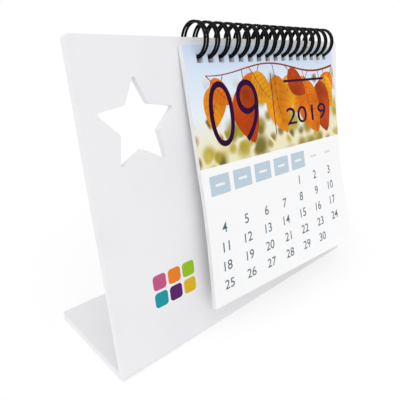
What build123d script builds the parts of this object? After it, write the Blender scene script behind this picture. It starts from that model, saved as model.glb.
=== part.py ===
from build123d import *
from math import acos, cos, pi, radians, sin, sqrt
import os

# Desk calendar: a bent plastic stand, a twin loop wire binding and twelve month sheets.
# Millimetres, +Z up, X along the width, -Y is the front. The origin ends at the middle of the box's bottom.

# Stand
PANEL_W = 225.0
PANEL_H = 175.0
LEAN = 10.0
FOOT_D = 73.0
STAND_T = 4.0
FOLD_INNER_R = 0.6
FOLD_OUTER_R = FOLD_INNER_R + STAND_T / 2
CORNER_R = 2.0

# Star window in the panel, measured from the panel's left edge and down from its top edge
STAR_X = 32.0
STAR_DROP = 42.0
STAR_S = PANEL_H - STAR_DROP
STAR_R = 24.5
STAR_INNER = 0.5
STAR_ROUND = 1.0

# Month sheets: beside the window, as wide and as tall as the panel leaves room for
SHEETS = 12
SHEET_LEFT = 62.0
SHEET_RIGHT = 13.0
SHEET_RISE = 23.0
SHEET_W = PANEL_W - SHEET_LEFT - SHEET_RIGHT
SHEET_H = PANEL_H - SHEET_RISE
SHEET_T = 0.18
SHEET_STEP = 0.24
SHEET_TILT = 4.4
SHEET_MARGIN = 10.0
FIRST_GAP = 0.35
TOP_EDGE = 6.0
PUNCH_W = 4.4
PUNCH_H = 4.6
PUNCH_ABOVE = 0.6

# Wire binding, 3:1 pitch, with as many loops as the sheets take
PITCH = 25.4 / 3
LOOPS = int((SHEET_W - 2 * SHEET_MARGIN) / PITCH) + 1
WIRE_D = 1.4
LOOP_W = 2.2
RING_R = 9.2
RING_DROP = 1.5
RING_FRONT = 1.3
BEND_R = 1.5
SEAM_GAP = 1.1
SEAM_STEP = 1.5
HOLE_CLEAR = 0.45

UP = Vector(0, sin(radians(LEAN)), cos(radians(LEAN)))
OUT = Vector(0, -cos(radians(LEAN)), sin(radians(LEAN)))
RING_X0 = SHEET_LEFT + (SHEET_W - (LOOPS - 1) * PITCH) / 2
RING_S = PANEL_H - RING_DROP


def on_panel(x, s, n=0.0):
    """A point by its place across the panel, up its slope and out from its front face."""
    return Vector(x, 0, 0) + UP * s + OUT * n


RING_C = on_panel(0, RING_S, RING_FRONT)


def on_ring(x, a, r=RING_R):
    """A point on a loop, by the angle from straight out of the panel, turning up."""
    return Vector(x, RING_C.Y, RING_C.Z) + OUT * (r * cos(a)) + UP * (r * sin(a))


def ring_way(a):
    return OUT * -sin(a) + UP * cos(a)


def panel_plane(n=0.0):
    """Sketch plane on the panel: X across, Y up the slope, Z out of the front."""
    return Plane(origin=tuple(OUT * n), x_dir=(1, 0, 0), z_dir=tuple(OUT))


# Angles where a loop passes the panel's back face, where its foot bends start and where its tip ends
BACK_A = 2 * pi - acos(-(RING_FRONT + STAND_T) / RING_R)
FOOT_A = BACK_A - radians(SEAM_STEP)
TIP_A = FOOT_A - (BEND_R + SEAM_GAP + LOOP_W / 2) / RING_R + 2 * pi


def make_stand():
    """One bent sheet: leaning panel, rounded fold and flat foot."""
    lean = radians(LEAN)
    inner_y = STAND_T * (1 + sin(lean)) / cos(lean)
    top_front = UP * PANEL_H
    top_back = top_front - OUT * STAND_T
    profile = Polyline(
        (0, 0, 0),
        (0, FOOT_D, 0),
        (0, FOOT_D, STAND_T),
        (0, inner_y, STAND_T),
        (0, top_back.Y, top_back.Z),
        (0, top_front.Y, top_front.Z),
        close=True,
    )
    body = extrude(make_face(profile), amount=PANEL_W, dir=(1, 0, 0))
    along = body.edges().filter_by(Axis.X)
    outer = along.sort_by_distance((PANEL_W / 2, 0, 0))[0]
    body = fillet(outer, FOLD_OUTER_R)
    along = body.edges().filter_by(Axis.X)
    inner = along.sort_by_distance((PANEL_W / 2, inner_y, STAND_T))[0]
    body = fillet(inner, FOLD_INNER_R)
    corners = []
    for x in (0, PANEL_W):
        mid = on_panel(x, PANEL_H, -STAND_T / 2)
        corners.append(body.edges().sort_by_distance(tuple(mid))[0])
        corners.append(body.edges().sort_by_distance((x, FOOT_D, STAND_T / 2))[0])
    body = fillet(corners, CORNER_R)

    points = []
    for i in range(10):
        r = STAR_R if i % 2 == 0 else STAR_R * STAR_INNER
        a = pi / 2 + i * pi / 5
        points.append((STAR_X + r * cos(a), STAR_S + r * sin(a)))
    star = make_face(Polyline(*points, close=True))
    star = fillet(star.vertices(), STAR_ROUND)
    body -= extrude(panel_plane(1) * star, amount=-(STAND_T + 2))

    # One round hole per loop, wide enough for the pair of wires on their arc
    entry = RING_S - sqrt(RING_R ** 2 - RING_FRONT ** 2)
    leave = RING_S - sqrt(RING_R ** 2 - (RING_FRONT + STAND_T) ** 2)
    half_w = (LOOP_W + WIRE_D) / 2
    half_h = (leave - entry + WIRE_D * 1.25) / 2
    hole_r = sqrt(half_w ** 2 + half_h ** 2) + HOLE_CLEAR
    for k in range(LOOPS):
        place = panel_plane(1) * Pos(RING_X0 + k * PITCH, (entry + leave) / 2)
        body -= extrude(place * Circle(hole_r), amount=-(STAND_T + 2))
    return body


def make_binding():
    """One unbroken wire: for each loop a leg round, a tip, a leg back, then a link to the next loop."""
    edges = []
    lead = ring_way(FOOT_A)
    tip_lead = ring_way(TIP_A)
    half = LOOP_W / 2

    def leg(x, a0, a1):
        m = (a0 + a1) / 2
        for p, q in ((a0, m), (m, a1)):
            edges.append(ThreePointArc(on_ring(x, p), on_ring(x, (p + q) / 2), on_ring(x, q)))

    for k in range(LOOPS):
        x = RING_X0 + k * PITCH
        leg(x - half, FOOT_A, TIP_A)
        mid = on_ring(x, TIP_A) + tip_lead * half
        edges.append(ThreePointArc(on_ring(x - half, TIP_A), mid, on_ring(x + half, TIP_A)))
        leg(x + half, TIP_A, FOOT_A)
        if k < LOOPS - 1:
            near = on_ring(x + half, FOOT_A)
            far = on_ring(x + PITCH - half, FOOT_A)
            side = Vector(BEND_R, 0, 0)
            turn = Vector(BEND_R * (1 - cos(pi / 4)), 0, 0)
            dip = lead * (BEND_R * sin(pi / 4))
            low = lead * BEND_R
            edges.append(ThreePointArc(near, near + turn - dip, near + side - low))
            edges.append(Line(near + side - low, far - side - low))
            edges.append(ThreePointArc(far - side - low, far - turn - dip, far))
    path = Wire(edges)
    start = Plane(origin=tuple(on_ring(RING_X0 - half, FOOT_A)), z_dir=tuple(lead))
    return sweep(start * Circle(WIRE_D / 2), path=path)


def make_sheet(k):
    """One month sheet, k counted from the panel outwards, punched for every loop."""
    n = FIRST_GAP + TOP_EDGE * sin(radians(SHEET_TILT)) + SHEET_T / 2 + k * SHEET_STEP
    drop = sqrt(RING_R ** 2 - (n - RING_FRONT) ** 2)
    hang = on_panel(SHEET_LEFT, RING_S - drop, n)
    tilt = radians(LEAN + SHEET_TILT)
    out = Vector(0, -cos(tilt), sin(tilt))
    plane = Plane(origin=tuple(hang - out * (SHEET_T / 2)), x_dir=(1, 0, 0), z_dir=tuple(out))
    leaf = Pos(SHEET_W / 2, TOP_EDGE - SHEET_H / 2) * Rectangle(SHEET_W, SHEET_H)
    first = (SHEET_W - (LOOPS - 1) * PITCH) / 2
    mid = WIRE_D / 2 + PUNCH_ABOVE - PUNCH_H / 2
    for i in range(LOOPS):
        leaf -= Pos(first + i * PITCH, mid) * Rectangle(PUNCH_W, PUNCH_H)
    return extrude(plane * leaf, amount=SHEET_T)


def least_gap():
    """Least clear distance of the wire to itself, on points along its run past the seam."""
    spots = []
    run = 0.0

    def add(p):
        nonlocal run
        if spots:
            run += (p - spots[-1][1]).length
        spots.append((run, p))

    for k in range(2):
        x = RING_X0 + k * PITCH
        for i in range(241):
            add(on_ring(x - LOOP_W / 2, FOOT_A + (TIP_A - FOOT_A) * i / 240))
        for i in range(1, 24):
            b = pi * i / 24
            tip = on_ring(x - cos(b) * LOOP_W / 2, TIP_A)
            add(tip + ring_way(TIP_A) * (sin(b) * LOOP_W / 2))
        for i in range(241):
            add(on_ring(x + LOOP_W / 2, TIP_A + (FOOT_A - TIP_A) * i / 240))
        near = on_ring(x + LOOP_W / 2, FOOT_A)
        lead = ring_way(FOOT_A)
        for i in range(1, 13):
            b = pi / 2 * i / 12
            add(near + Vector(BEND_R * (1 - cos(b)), 0, 0) - lead * (BEND_R * sin(b)))
        span = PITCH - LOOP_W - 2 * BEND_R
        for i in range(1, 13):
            add(near + Vector(BEND_R + span * i / 12, 0, 0) - lead * BEND_R)
        for i in range(1, 12):
            b = pi / 2 * (1 - i / 12)
            far = near + Vector(PITCH - LOOP_W - BEND_R * (1 - cos(b)), 0, 0)
            add(far - lead * (BEND_R * sin(b)))
    best = 1e9
    for i in range(0, len(spots), 2):
        for j in range(i + 1, len(spots)):
            if spots[j][0] - spots[i][0] > LOOP_W * 2:
                best = min(best, (spots[i][1] - spots[j][1]).length)
    return best - WIRE_D


shapes = {"stand": make_stand(), "wire_binding": make_binding()}
for k in range(SHEETS):
    shapes["sheet_%02d" % (SHEETS - k)] = make_sheet(k)

boxes = [s.bounding_box() for s in shapes.values()]
low = Vector(min(b.min.X for b in boxes), min(b.min.Y for b in boxes), min(b.min.Z for b in boxes))
high = Vector(max(b.max.X for b in boxes), max(b.max.Y for b in boxes), max(b.max.Z for b in boxes))
SHIFT = Vector(-(low.X + high.X) / 2, -(low.Y + high.Y) / 2, -low.Z)
AXIS = RING_C + SHIFT

os.makedirs("parts", exist_ok=True)
for name, shape in shapes.items():
    export_step(Pos(*SHIFT) * shape, "parts/%s.step" % name)

print("wire least gap to itself %.3f" % least_gap())
print("shift", SHIFT, "hinge axis", AXIS, "size", high - low)
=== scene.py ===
from math import cos, pi, radians, sin

import bpy
from mathutils import Matrix, Vector


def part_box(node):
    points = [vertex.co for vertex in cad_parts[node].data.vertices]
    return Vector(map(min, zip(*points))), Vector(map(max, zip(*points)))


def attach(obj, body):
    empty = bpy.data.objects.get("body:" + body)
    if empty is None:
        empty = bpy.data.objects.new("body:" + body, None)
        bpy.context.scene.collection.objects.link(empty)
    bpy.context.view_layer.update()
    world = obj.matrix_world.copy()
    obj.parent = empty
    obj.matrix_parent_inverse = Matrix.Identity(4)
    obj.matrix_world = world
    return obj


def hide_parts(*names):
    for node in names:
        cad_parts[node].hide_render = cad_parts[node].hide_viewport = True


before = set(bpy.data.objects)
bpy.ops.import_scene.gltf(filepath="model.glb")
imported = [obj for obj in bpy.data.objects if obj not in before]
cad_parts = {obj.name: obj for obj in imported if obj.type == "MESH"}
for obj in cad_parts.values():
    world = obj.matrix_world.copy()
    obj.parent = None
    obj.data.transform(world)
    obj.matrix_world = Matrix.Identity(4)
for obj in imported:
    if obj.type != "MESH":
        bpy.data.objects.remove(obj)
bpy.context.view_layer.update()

MM = 0.001

# Camera, as the photograph was taken: turned to the right, looking down, with a slight roll
CAM_AT = Vector((-192.5, -170.93, 169.88)) * MM
CAM_YAW = radians(43.45)
CAM_PITCH = radians(21.95)
CAM_ROLL = radians(1.22)
CAM_LENS = 35.22
CAM_SENSOR = 36.0
CAM_CLIP = 0.005

# Slopes of the panel and of the sheets, and the foot's depth
LEAN = radians(10.0)
SHEET_LEAN = radians(14.4)
FOOT_D = 73.0 * MM

# Sheets, in millimetres on the sheet: u across from the left edge, v down from the top edge
SHEET_W = 150.0
SHEET_H = 152.0
SHEET_T = 0.18
LOOPS = 16
PITCH = 25.4 / 3
PUNCH_W = 4.4
PUNCH_TOP = 4.7
PUNCH_BOTTOM = 9.3
PICTURE_H = 66.5

# Height of one layer of ink, and the layers that the prints lie on
INK = 0.008
TWIG_LEVEL = 1
LEAF_LEVEL = 2
LEAF_STEP = 0.2
VEIN_LIFT = 0.1
DATE_LEVEL = 5
MONTH_LEVEL = 6

# Curl of the hanging paper: it starts below the weekday boxes, and at the foot the left corner
# lies back while the right corner stands out
CURL_FROM = 85.0
CURL_LEFT = -5.0
CURL_RIGHT = 5.5
CURL_POWER = 1.4
CURL_ROWS = 20
SHARP_ANGLE = radians(40)

# Month and year figures, in millimetres on the sheet
MONTH_U = 23.0
MONTH_STEP = 23.5
MONTH_V = 38.0
MONTH_H = 37.0
MONTH_W = 20.0
ONE_W = 3.2
MONTH_WEIGHT = -0.016
YEAR_U = 109.5
YEAR_V = 46.0
YEAR_H = 11.5
YEAR_W = 50.0
YEAR_WEIGHT = 0.003

# Weekday boxes and date grid, in millimetres on the sheet
FIRST_COL = 12.8
COL = 19.7
BOX_SHIFT = 0.8
BOX_V = 77.3
BOX_W = 16.2
BOX_H = 11.6
LABEL_W = 8.0
LABEL_H = 1.6
WORK_DAYS = 5
FIRST_ROW = 91.0
ROW_MOST = 12.1
GRID_H = 54.0
DATE_H = 6.2
DATE_WEIGHT = 0.005

# Colour tiles on the panel: the first tile's middle from the left edge and the foot, spacing, size and corner.
# Places count downwards, so one up the slope is negative
TILE_U = 31.0
TILE_V = -47.0
TILE_STEP = 10.5
TILE_SIZE = 9.0
TILE_R = 2.2
TILES_WIDE = 3

# Floor: its half size, tone and drop below the foot, and the share and strength of the glow that
# lifts it to the white of the background where the camera, mirrors or glass see it
FLOOR_HALF = 3.0
FLOOR_TONE = (0.9, 0.9, 0.9, 1)
FLOOR_DROP = 0.0003
FLOOR_SHARE = 0.6
FLOOR_GLOW = 1.1

# Surroundings: strength as light, and as the white that is seen
WORLD_LIGHT = 0.69
WORLD_SEEN = 1.0

# Lamps: name, direction of the light, spread in degrees and strength
LAMPS = [
    ("key", (0.45, 0.60, -0.9), 75, 0.95),
    ("side", (1.0, 0.20, -0.35), 65, 0.34),
]

# Print colours, as linear values
PURPLE = (0.026, 0.0008, 0.038)
DATE_GREY = (0.115, 0.165, 0.20)
BOX_BLUE = (0.52, 0.63, 0.725)
PALE_GREY = (0.72, 0.75, 0.78)
LABEL_WHITE = (0.86, 0.88, 0.90)
VEIN_BROWN = (0.30, 0.035, 0.003)
PRINT_WHITE = (0.95, 0.95, 0.96)
LEAF_TONES = [
    (0.80, 0.18, 0.006),
    (0.93, 0.34, 0.012),
    (0.46, 0.055, 0.004),
    (0.88, 0.26, 0.008),
]
TILE_TONES = [
    (0.55, 0.10, 0.24),
    (0.80, 0.22, 0.02),
    (0.30, 0.52, 0.02),
    (0.02, 0.30, 0.36),
    (0.10, 0.02, 0.14),
    (0.72, 0.45, 0.02),
]
SKY_STOPS = [
    (0.0, (0.62, 0.75, 0.93)),
    (0.55, (0.80, 0.87, 0.95)),
    (0.85, (0.86, 0.80, 0.55)),
]
OLIVE_STOPS = [
    (0.0, (0.16, 0.13, 0.01)),
    (0.4, (0.42, 0.34, 0.02)),
    (0.7, (0.62, 0.50, 0.08)),
    (1.0, (0.20, 0.07, 0.01)),
]

# Soft spots of the printed background: cell sizes in millimetres, and how they thicken downwards and sideways
SPOT_SIZES = (26.0, 17.0, 11.0)
SPOTS_LOW = 1.15
SPOTS_SIDE = 420.0

# Leaves along the twig: share of the twig's run from the right, length, and turn from straight down
LEAVES = [
    (0.02, 36.0, -30.0),
    (0.10, 30.0, 18.0),
    (0.15, 46.0, 8.0),
    (0.25, 34.0, -34.0),
    (0.31, 48.0, 18.0),
    (0.42, 33.0, -14.0),
    (0.47, 30.0, 48.0),
    (0.55, 47.0, 12.0),
    (0.66, 36.0, -28.0),
    (0.73, 31.0, 44.0),
    (0.78, 45.0, 6.0),
    (0.90, 33.0, -24.0),
    (1.00, 25.0, 50.0),
]

# The two months whose faces can be seen: figures, first weekday counted from Monday, and days
MONTHS = {
    "sheet_01": dict(number=9, year=2019, first_day=4, days=30, seed=0),
    "sheet_02": dict(number=10, year=2019, first_day=6, days=31, seed=1),
}


def node_material(name, rough, colour):
    """A principled material with its tree's helper calls, to add a node and to link two sockets."""
    mat = bpy.data.materials.new(name)
    mat.use_nodes = True
    tree = mat.node_tree
    shader = tree.nodes["Principled BSDF"]
    shader.inputs["Base Color"].default_value = (*colour, 1)
    shader.inputs["Roughness"].default_value = rough

    def add(kind, **values):
        node = tree.nodes.new(kind)
        for key, value in values.items():
            setattr(node, key, value)
        return node

    def link(a, b):
        tree.links.new(a, b)

    return mat, add, link, shader


def ramp(add, source, link, stops):
    """A colour ramp over a 0 to 1 factor."""
    node = add("ShaderNodeValToRGB")
    while len(node.color_ramp.elements) < len(stops):
        node.color_ramp.elements.new(0.5)
    for element, (place, colour) in zip(node.color_ramp.elements, stops):
        element.position = place
        element.color = (*colour, 1)
    link(source, node.inputs["Fac"])
    return node


def bump(add, link, shader, height, strength, distance):
    """Fine relief from a height."""
    node = add("ShaderNodeBump")
    node.inputs["Strength"].default_value = strength
    node.inputs["Distance"].default_value = distance
    link(height, node.inputs["Height"])
    link(node.outputs["Normal"], shader.inputs["Normal"])


def noise(add, link, coords, scale, detail=3.0):
    """A noise texture."""
    node = add("ShaderNodeTexNoise")
    node.inputs["Scale"].default_value = scale
    node.inputs["Detail"].default_value = detail
    link(coords, node.inputs["Vector"])
    return node


def plastic_material():
    """White satin sheet plastic: faintly cloudy colour, gloss that varies and a very fine orange peel."""
    mat, add, link, shader = node_material("stand_plastic", 0.3, (0.86, 0.86, 0.88))
    coords = add("ShaderNodeTexCoord").outputs["Object"]
    cloud = noise(add, link, coords, 18)
    tint = ramp(add, cloud.outputs["Fac"], link, [(0.3, (0.83, 0.83, 0.86)), (0.7, (0.88, 0.88, 0.89))])
    link(tint.outputs["Color"], shader.inputs["Base Color"])
    handled = noise(add, link, coords, 45, 5)
    gloss = add("ShaderNodeMapRange")
    gloss.inputs["To Min"].default_value = 0.24
    gloss.inputs["To Max"].default_value = 0.40
    link(handled.outputs["Fac"], gloss.inputs["Value"])
    link(gloss.outputs["Result"], shader.inputs["Roughness"])
    peel = noise(add, link, coords, 700)
    bump(add, link, shader, peel.outputs["Fac"], 0.05, 0.0004)
    shader.inputs["Coat Weight"].default_value = 0.15
    shader.inputs["Coat Roughness"].default_value = 0.2
    return mat


def wire_material():
    """Black nylon-coated wire: deep gloss, with fine unevenness and faintly rubbed spots."""
    mat, add, link, shader = node_material("wire_black", 0.25, (0.003, 0.003, 0.004))
    shader.inputs["Specular IOR Level"].default_value = 0.07
    coords = add("ShaderNodeTexCoord").outputs["Object"]
    rub = noise(add, link, coords, 380, 4)
    tone = ramp(add, rub.outputs["Fac"], link, [(0.55, (0.002, 0.002, 0.003)), (0.8, (0.012, 0.012, 0.014))])
    link(tone.outputs["Color"], shader.inputs["Base Color"])
    gloss = add("ShaderNodeMapRange")
    gloss.inputs["To Min"].default_value = 0.16
    gloss.inputs["To Max"].default_value = 0.42
    link(rub.outputs["Fac"], gloss.inputs["Value"])
    link(gloss.outputs["Result"], shader.inputs["Roughness"])
    skin = noise(add, link, coords, 1600)
    bump(add, link, shader, skin.outputs["Fac"], 0.12, 0.0002)
    return mat


def paper_finish(add, link, shader, coords):
    """Fibre bump and slightly uneven gloss of a coated printing paper."""
    fibre = noise(add, link, coords, 2600, 6)
    bump(add, link, shader, fibre.outputs["Fac"], 0.10, 0.0001)
    gloss = add("ShaderNodeMapRange")
    gloss.inputs["To Min"].default_value = 0.42
    gloss.inputs["To Max"].default_value = 0.60
    mottle = noise(add, link, coords, 120)
    link(mottle.outputs["Fac"], gloss.inputs["Value"])
    link(gloss.outputs["Result"], shader.inputs["Roughness"])
    return mottle


def paper_material():
    """Plain white paper of the waiting sheets."""
    mat, add, link, shader = node_material("sheet_paper", 0.5, (0.88, 0.88, 0.89))
    coords = add("ShaderNodeTexCoord").outputs["Object"]
    mottle = paper_finish(add, link, shader, coords)
    tone = ramp(add, mottle.outputs["Fac"], link, [(0.3, (0.90, 0.905, 0.92)), (0.7, (0.94, 0.94, 0.95))])
    link(tone.outputs["Color"], shader.inputs["Base Color"])
    return mat


def math_node(add, link, operation, a, b):
    """A maths node on two sockets or plain values."""
    node = add("ShaderNodeMath", operation=operation)
    for socket, value in zip(node.inputs, (a, b)):
        if hasattr(value, "default_value"):
            link(value, socket)
        else:
            socket.default_value = value
    return node.outputs[0]


def mix_colour(add, link, fac, a, b):
    """A blend of two colours, each a socket or plain values."""
    node = add("ShaderNodeMix", data_type="RGBA")
    link(fac, node.inputs["Factor"])
    for socket, value in ((node.inputs[6], a), (node.inputs[7], b)):
        if hasattr(value, "default_value"):
            link(value, socket)
        else:
            socket.default_value = (*value, 1)
    return node.outputs[2]


def picture_material(name, place, seed):
    """Printed face: white paper with a soft autumn background over its upper part."""
    mat, add, link, shader = node_material(name, 0.5, (0.88, 0.88, 0.89))
    shader.inputs["Specular IOR Level"].default_value = 0.25
    coords = add("ShaderNodeTexCoord").outputs["Object"]
    paper_finish(add, link, shader, coords)

    # Sheet coordinates in millimetres: u from the left edge, v down from the top edge, w out of the face
    turn = place.to_3x3().transposed().to_euler()
    move = add("ShaderNodeVectorMath", operation="SUBTRACT")
    link(coords, move.inputs[0])
    move.inputs[1].default_value = place.translation
    spin = add("ShaderNodeVectorRotate", rotation_type="EULER_XYZ")
    spin.inputs["Rotation"].default_value = turn
    link(move.outputs[0], spin.inputs["Vector"])
    scale = add("ShaderNodeVectorMath", operation="SCALE")
    scale.inputs["Scale"].default_value = 1 / MM
    link(spin.outputs[0], scale.inputs[0])
    flat = scale.outputs[0]
    split = add("ShaderNodeSeparateXYZ")
    link(flat, split.inputs[0])
    across, upward = split.outputs[0], split.outputs[1]
    drift = add("ShaderNodeVectorMath", operation="ADD")
    drift.inputs[1].default_value = (seed * 41.0, seed * 17.0, 0)
    link(flat, drift.inputs[0])
    spread = drift.outputs[0]

    # Sky, pale blue above and warm cream below
    depth = math_node(add, link, "DIVIDE", upward, -PICTURE_H)
    sky = ramp(add, depth, link, SKY_STOPS)
    colour = sky.outputs["Color"]

    # Out-of-focus undergrowth: large soft spots that thicken downwards and to the right
    def fade(value, start, end):
        """Soft step, from 0 at the start to 1 at the end."""
        step = add("ShaderNodeMapRange", interpolation_type="SMOOTHSTEP")
        step.inputs["From Min"].default_value = start
        step.inputs["From Max"].default_value = end
        link(value, step.inputs["Value"])
        return step.outputs["Result"]

    def cells(size, feature):
        node = add("ShaderNodeTexVoronoi", voronoi_dimensions="2D", feature=feature)
        node.inputs["Scale"].default_value = 1 / size
        link(spread, node.inputs["Vector"])
        return node

    def spots(size, tones, want):
        """One soft spot in some of the cells: its cover, faded at the cell's sides, and its colour."""
        middle = cells(size, "F1")
        shade = add("ShaderNodeSeparateColor")
        link(middle.outputs["Color"], shade.inputs[0])
        tone = ramp(add, shade.outputs[0], link, tones)
        cover = fade(middle.outputs["Distance"], 0.45, 0.12)
        sides = fade(cells(size, "DISTANCE_TO_EDGE").outputs["Distance"], 0.0, 0.16)
        wanted = fade(math_node(add, link, "SUBTRACT", want, shade.outputs[1]), 0.0, 0.22)
        cover = math_node(add, link, "MULTIPLY", cover, sides)
        return math_node(add, link, "MULTIPLY", cover, wanted), tone.outputs["Color"]

    low_part = math_node(add, link, "MULTIPLY", depth, depth)
    side = math_node(add, link, "DIVIDE", across, SPOTS_SIDE)
    want = math_node(add, link, "ADD", math_node(add, link, "MULTIPLY", low_part, SPOTS_LOW), side)
    for size in SPOT_SIZES:
        fac, tone = spots(size, OLIVE_STOPS, want)
        colour = mix_colour(add, link, fac, colour, tone)

    # Picture only above its lower edge
    in_picture = math_node(add, link, "GREATER_THAN", upward, -PICTURE_H)
    colour = mix_colour(add, link, in_picture, PRINT_WHITE, colour)
    link(colour, shader.inputs["Base Color"])
    return mat


def ink_material(name, colour, scale=900, low=0.94):
    """Flat printing ink with a little uneven density, or with broader tones for a picture."""
    mat, add, link, shader = node_material(name, 0.5, colour)
    shader.inputs["Specular IOR Level"].default_value = 0.05
    coords = add("ShaderNodeTexCoord").outputs["Object"]
    grain = noise(add, link, coords, scale, 4)
    dark = tuple(c * low for c in colour)
    light = tuple(min(1.0, c * (2.0 - low)) for c in colour)
    tone = ramp(add, grain.outputs["Fac"], link, [(0.3, dark), (0.7, light)])
    link(tone.outputs["Color"], shader.inputs["Base Color"])
    return mat


def sheet_place(node):
    """A sheet's print frame: origin at its top left front corner, X across, Y up the sheet, Z out."""
    low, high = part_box(node)
    origin = Vector((low[0], high[1] - SHEET_T * MM * cos(SHEET_LEAN), high[2]))
    return slope_frame(origin, SHEET_LEAN)


def curl(u, v):
    """How far the hanging paper stands out of its flat plane."""
    share = max(0.0, (v - CURL_FROM) / (SHEET_H - CURL_FROM))
    return share ** CURL_POWER * (CURL_LEFT + (CURL_RIGHT - CURL_LEFT) * u / SHEET_W)


def curl_mesh(mesh):
    """Lays a flat print or sheet, drawn as (u, -v, height), on the curled paper."""
    for p in mesh.vertices:
        p.co.z += curl(p.co.x, -p.co.y)


def sheet_mesh(name):
    """A punched sheet as a closed thin grid. Front faces have material 0, back and edges material 1."""
    first = (SHEET_W - (LOOPS - 1) * PITCH) / 2
    across = [0.0]
    for k in range(LOOPS):
        mid = first + k * PITCH
        across += [mid - PUNCH_W / 2, mid + PUNCH_W / 2]
    across.append(SHEET_W)
    down = [0.0, PUNCH_TOP, PUNCH_BOTTOM, CURL_FROM]
    down += [CURL_FROM + (SHEET_H - CURL_FROM) * i / CURL_ROWS for i in range(1, CURL_ROWS + 1)]
    wide = len(across)

    def punched(i, j):
        return down[j] == PUNCH_TOP and i % 2 == 1

    def solid(i, j):
        return 0 <= i < wide - 1 and 0 <= j < len(down) - 1 and not punched(i, j)

    front = [(u, -v, 0.0) for v in down for u in across]
    back = [(u, -v, -SHEET_T) for v in down for u in across]
    shift = len(front)
    faces = []
    for j in range(len(down) - 1):
        for i in range(wide - 1):
            if not solid(i, j):
                continue
            a = j * wide + i
            ring = (a + wide, a + wide + 1, a + 1, a)
            faces.append((0, ring))
            faces.append((1, tuple(shift + p for p in reversed(ring))))
            sides = ((i, j + 1), (i + 1, j), (i, j - 1), (i - 1, j))
            for k, near in enumerate(sides):
                if not solid(*near):
                    p, q = ring[k], ring[(k + 1) % 4]
                    faces.append((1, (q, p, p + shift, q + shift)))
    mesh = bpy.data.meshes.new(name)
    mesh.from_pydata(front + back, [], [f for _, f in faces])
    for polygon, (slot, _) in zip(mesh.polygons, faces):
        polygon.material_index = slot
        polygon.use_smooth = True
    mesh.set_sharp_from_angle(angle=SHARP_ANGLE)
    curl_mesh(mesh)
    return mesh


def hang_sheets():
    """Curled paper sheets in place of the flat solids; the first two carry their month's print."""
    paper = paper_material()
    for name in sorted(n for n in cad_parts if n.startswith("sheet_")):
        place = sheet_place(name)
        body = "front_sheet" if name == "sheet_01" else "waiting_sheets"
        mesh = sheet_mesh("paper_" + name[-2:])
        mesh.transform(place @ Matrix.Scale(MM, 4))
        face = paper
        if name in MONTHS:
            face = picture_material("print_" + name[-2:], place, MONTHS[name]["seed"])
        mesh.materials.append(face)
        mesh.materials.append(paper)
        piece = bpy.data.objects.new(mesh.name, mesh)
        bpy.context.scene.collection.objects.link(piece)
        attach(piece, body)
        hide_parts(name)
        if name in MONTHS:
            print_month(place, body, **MONTHS[name])


def panel_place():
    """The panel's frame: origin at its front face's lower left, X across, Y up the slope, Z out."""
    low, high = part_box("stand")
    return slope_frame(Vector((low[0], high[1] - FOOT_D, 0)), LEAN)


def slope_frame(origin, lean):
    """A frame on a face that leans back: X across, Y up the slope, Z out."""
    across = Vector((1, 0, 0))
    upward = Vector((0, sin(lean), cos(lean)))
    out = across.cross(upward)
    axes = Matrix((across, upward, out)).transposed().to_4x4()
    return Matrix.Translation(origin) @ axes


def add_print(mesh, place, height, material, body, curled=False):
    """Lays a flat mesh, drawn in millimetres, on a print frame and lets it ride on a body."""
    for p in mesh.vertices:
        p.co.z += height
    if curled:
        curl_mesh(mesh)
    mesh.transform(place @ Matrix.Scale(MM, 4))
    mesh.materials.clear()
    mesh.materials.append(material)
    piece = bpy.data.objects.new(mesh.name, mesh)
    bpy.context.scene.collection.objects.link(piece)
    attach(piece, body)


def rounded_bar(name, u, v, width, height, radius=0.4, steps=6):
    """A flat rounded rectangle with its middle at u across and v down."""
    points = []
    for sx, sy, start in ((1, 1, 0), (-1, 1, pi / 2), (-1, -1, pi), (1, -1, 3 * pi / 2)):
        cx = u + sx * (width / 2 - radius)
        cy = -v + sy * (height / 2 - radius)
        for i in range(steps + 1):
            a = start + pi / 2 * i / steps
            points.append((cx + radius * cos(a), cy + radius * sin(a), 0))
    mesh = bpy.data.meshes.new(name)
    mesh.from_pydata(points, [], [list(range(len(points)))])
    return mesh


def number_mesh(name, words, u, v, height, width=None, weight=0.0):
    """Plain figures as a flat mesh, centred at u across and v down, with a given height and width."""
    curve = bpy.data.curves.new(name, "FONT")
    curve.body = words
    curve.align_x = "CENTER"
    curve.align_y = "CENTER"
    curve.offset = weight
    holder = bpy.data.objects.new(name + "_curve", curve)
    bpy.context.scene.collection.objects.link(holder)
    bpy.context.view_layer.update()
    graph = bpy.context.evaluated_depsgraph_get()
    mesh = bpy.data.meshes.new_from_object(holder.evaluated_get(graph))
    bpy.data.objects.remove(holder)
    xs = [p.co.x for p in mesh.vertices]
    ys = [p.co.y for p in mesh.vertices]
    tall = height / (max(ys) - min(ys))
    wide = tall if width is None else width / (max(xs) - min(xs))
    mid_x = (max(xs) + min(xs)) / 2
    mid_y = (max(ys) + min(ys)) / 2
    for p in mesh.vertices:
        p.co = Vector(((p.co.x - mid_x) * wide + u, (p.co.y - mid_y) * tall - v, 0))
    return mesh


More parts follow.
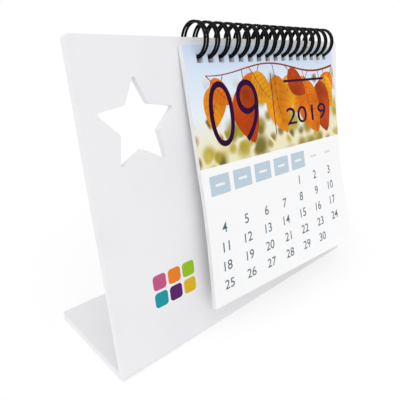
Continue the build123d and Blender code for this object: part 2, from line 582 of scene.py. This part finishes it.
def leaf_mesh(name, u, v, length, turn, part):
    """A plain pointed oval leaf hung from its stalk at u, v: its blade, or its midrib and side veins."""
    axis = Vector((sin(turn), -cos(turn)))
    side = Vector((axis.y, -axis.x))
    stalk = Vector((u, -v))
    half = length * 0.27
    bow = length * 0.06

    def spot(t, across):
        """A point at share t along the leaf and share across of its half width."""
        width = half * sin(pi * t ** 0.8) ** 0.75 if 0 < t < 1 else 0.0
        p = stalk + axis * (length * (0.16 + 0.84 * t)) + side * (across * width + bow * sin(pi * t))
        return (p.x, p.y, 0)

    steps = 18
    mesh = bpy.data.meshes.new(name)
    if part == "blade":
        points = [spot(i / steps, 1) for i in range(steps + 1)]
        points += [spot(i / steps, -1) for i in range(steps - 1, 0, -1)]
        mesh.from_pydata(points, [], [list(range(len(points)))])
        return mesh
    points = []
    faces = []

    def stroke(p, q, w0, w1):
        way = Vector((q[0] - p[0], q[1] - p[1])).normalized()
        out = Vector((-way.y, way.x))
        at = len(points)
        for c, w in ((p, w0), (q, w1)):
            points.append((c[0] - out.x * w, c[1] - out.y * w, 0))
            points.append((c[0] + out.x * w, c[1] + out.y * w, 0))
        faces.append((at, at + 2, at + 3, at + 1))

    stroke((stalk.x, stalk.y), spot(0, 0), 0.32, 0.26)
    for i in range(8):
        stroke(spot(i / 8, 0), spot((i + 1) / 8, 0), 0.26 - 0.02 * i, 0.24 - 0.02 * i)
    for i in range(1, 7):
        for hand in (-1, 1):
            stroke(spot(i / 8, 0), spot(i / 8 + 0.11, hand * 0.82), 0.12, 0.05)
    mesh.from_pydata(points, [], faces)
    return mesh


def twig_points(steps=40):
    """The twig's run across the picture's top, below the punched holes."""
    return [(148.0 - 134.0 * i / steps, 13.5 + 3.0 * sin(2.6 * pi * i / steps)) for i in range(steps + 1)]


def twig_mesh(name):
    """The twig as a flat strip that thins towards the left."""
    points = []
    faces = []
    run = twig_points()
    for i, (u, v) in enumerate(run):
        w = 0.75 - 0.5 * i / len(run)
        points += [(u, -v - w, 0), (u, -v + w, 0)]
        if i:
            faces.append((2 * i - 2, 2 * i - 1, 2 * i + 1, 2 * i))
    mesh = bpy.data.meshes.new(name)
    mesh.from_pydata(points, [], faces)
    return mesh


def print_leaves(put, tag, seed):
    """A twig with hanging leaves in autumn tones."""
    veins = ink_material("ink_vein_" + tag, VEIN_BROWN)
    blades = []
    for i, tone in enumerate(LEAF_TONES):
        blades.append(ink_material("ink_leaf_%s_%d" % (tag, i), tone, 60, 0.62))
    put(twig_mesh("twig_" + tag), veins, TWIG_LEVEL)
    run = twig_points()
    for i, (share, length, turn) in enumerate(LEAVES):
        u, v = run[int(share * (len(run) - 1))]
        name = "leaf_%s_%02d" % (tag, i)
        level = LEAF_LEVEL + LEAF_STEP * i
        blade = blades[(i + seed) % len(blades)]
        put(leaf_mesh(name, u, v, length, radians(turn), "blade"), blade, level)
        put(leaf_mesh(name + "_veins", u, v, length, radians(turn), "veins"), veins, level + VEIN_LIFT)


def print_month(place, body, number, year, first_day, days, seed):
    """A month's figures, year figures, weekday boxes, date grid and picture motif."""
    tag = "%02d" % number
    purple = ink_material("ink_purple_" + tag, PURPLE)
    grey = ink_material("ink_grey_" + tag, DATE_GREY)
    blue = ink_material("ink_blue_" + tag, BOX_BLUE)
    pale = ink_material("ink_pale_" + tag, PALE_GREY)
    label = ink_material("ink_label_" + tag, LABEL_WHITE)

    def put(mesh, material, level=1):
        add_print(mesh, place, level * INK, material, body, curled=True)

    print_leaves(put, tag, seed)
    for i, figure in enumerate(tag):
        width = ONE_W if figure == "1" else MONTH_W
        u = MONTH_U + MONTH_STEP * i
        mesh = number_mesh("month_%s_%d" % (tag, i), figure, u, MONTH_V, MONTH_H, width, MONTH_WEIGHT)
        put(mesh, purple, MONTH_LEVEL)
    put(rounded_bar("month_rule_" + tag, 71.5, 36.5, 0.7, 40.0, 0.3), purple, MONTH_LEVEL)
    put(rounded_bar("month_bar_" + tag, 110.0, 22.5, 50.0, 1.6, 0.6), purple, MONTH_LEVEL)
    mesh = number_mesh("year_" + tag, str(year), YEAR_U, YEAR_V, YEAR_H, YEAR_W, YEAR_WEIGHT)
    put(mesh, purple, MONTH_LEVEL)

    for day in range(7):
        u = FIRST_COL + BOX_SHIFT + day * COL
        if day < WORK_DAYS:
            put(rounded_bar("weekday_box_%s_%d" % (tag, day), u, BOX_V, BOX_W, BOX_H, 0.5), blue)
        ink, level = (label, 2) if day < WORK_DAYS else (pale, 1)
        put(rounded_bar("weekday_label_%s_%d" % (tag, day), u, BOX_V, LABEL_W, LABEL_H, 0.7), ink, level)
    rows = (first_day + days + 6) // 7
    row = min(ROW_MOST, GRID_H / (rows - 1))
    for date in range(1, days + 1):
        cell = date - 1 + first_day
        u = FIRST_COL + (cell % 7) * COL
        v = FIRST_ROW + (cell // 7) * row
        mesh = number_mesh("date_%s_%02d" % (tag, date), str(date), u, v, DATE_H, weight=DATE_WEIGHT)
        put(mesh, grey, DATE_LEVEL)


def print_panel():
    """Plain colour tiles where the photograph's stand carries a printed mark."""
    place = panel_place()
    for i, tone in enumerate(TILE_TONES):
        u = TILE_U + TILE_STEP * (i % TILES_WIDE)
        v = TILE_V + TILE_STEP * (i // TILES_WIDE)
        mesh = rounded_bar("colour_tile_%d" % i, u, v, TILE_SIZE, TILE_SIZE, TILE_R)
        add_print(mesh, place, INK, ink_material("ink_tile_%d" % i, tone), "stand")


def dress_nodes():
    """Materials of the solids that stay in view."""
    for name, mat in (("stand", plastic_material()), ("wire_binding", wire_material())):
        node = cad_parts[name]
        node.data.materials.clear()
        node.data.materials.append(mat)


def add_camera():
    """The photograph's camera."""
    flat = cos(CAM_PITCH)
    forward = Vector((sin(CAM_YAW) * flat, cos(CAM_YAW) * flat, -sin(CAM_PITCH)))
    level = Vector((cos(CAM_YAW), -sin(CAM_YAW), 0))
    upright = level.cross(forward)
    right = level * cos(CAM_ROLL) + upright * sin(CAM_ROLL)
    top = upright * cos(CAM_ROLL) - level * sin(CAM_ROLL)
    data = bpy.data.cameras.new("camera")
    data.lens = CAM_LENS
    data.sensor_width = CAM_SENSOR
    data.clip_start = CAM_CLIP
    camera = bpy.data.objects.new("camera", data)
    axes = Matrix((right, top, -forward)).transposed().to_4x4()
    camera.matrix_world = Matrix.Translation(CAM_AT) @ axes
    bpy.context.scene.collection.objects.link(camera)
    bpy.context.scene.camera = camera


def seen_rays(tree):
    """Socket that is 1 for camera, mirror and glass rays, and 0 for the rays that light things."""
    path = tree.nodes.new("ShaderNodeLightPath")
    seen = path.outputs["Is Camera Ray"]
    for ray in ("Is Glossy Ray", "Is Transmission Ray"):
        either = tree.nodes.new("ShaderNodeMath")
        either.operation = "MAXIMUM"
        tree.links.new(seen, either.inputs[0])
        tree.links.new(path.outputs[ray], either.inputs[1])
        seen = either.outputs[0]
    return seen


def floor_material():
    """Pale floor that reads as the white background but keeps the object's shadow."""
    mat = bpy.data.materials.new("floor")
    mat.use_nodes = True
    nodes = mat.node_tree.nodes
    links = mat.node_tree.links
    nodes.remove(nodes["Principled BSDF"])
    matte = nodes.new("ShaderNodeBsdfDiffuse")
    matte.inputs["Color"].default_value = FLOOR_TONE
    glow = nodes.new("ShaderNodeEmission")
    glow.inputs["Strength"].default_value = FLOOR_GLOW
    share = nodes.new("ShaderNodeMath")
    share.operation = "MULTIPLY"
    share.inputs[1].default_value = FLOOR_SHARE
    links.new(seen_rays(mat.node_tree), share.inputs[0])
    mix = nodes.new("ShaderNodeMixShader")
    links.new(share.outputs[0], mix.inputs["Fac"])
    links.new(matte.outputs[0], mix.inputs[1])
    links.new(glow.outputs[0], mix.inputs[2])
    links.new(mix.outputs[0], nodes["Material Output"].inputs["Surface"])
    return mat


def add_stage():
    """Floor, white surroundings and two wide soft lamps."""
    mesh = bpy.data.meshes.new("floor")
    corners = [(FLOOR_HALF * x, FLOOR_HALF * y, 0) for x, y in ((-1, -1), (1, -1), (1, 1), (-1, 1))]
    mesh.from_pydata(corners, [], [(0, 1, 2, 3)])
    mesh.materials.append(floor_material())
    floor = bpy.data.objects.new("floor", mesh)
    floor.location.z = -FLOOR_DROP
    bpy.context.scene.collection.objects.link(floor)

    world = bpy.data.worlds.new("studio")
    world.use_nodes = True
    back = world.node_tree.nodes["Background"]
    back.inputs["Color"].default_value = (1, 1, 1, 1)
    links = world.node_tree.links
    level = world.node_tree.nodes.new("ShaderNodeMapRange")
    level.inputs["To Min"].default_value = WORLD_LIGHT
    level.inputs["To Max"].default_value = WORLD_SEEN
    links.new(seen_rays(world.node_tree), level.inputs["Value"])
    links.new(level.outputs["Result"], back.inputs["Strength"])
    bpy.context.scene.world = world

    for name, way, spread, power in LAMPS:
        data = bpy.data.lights.new(name, "SUN")
        data.angle = radians(spread)
        data.energy = power
        lamp = bpy.data.objects.new(name, data)
        lamp.rotation_euler = Vector(way).to_track_quat("-Z", "Y").to_euler()
        bpy.context.scene.collection.objects.link(lamp)


dress_nodes()
hang_sheets()
print_panel()
add_camera()
add_stage()
bpy.context.scene.view_settings.view_transform = "Standard"
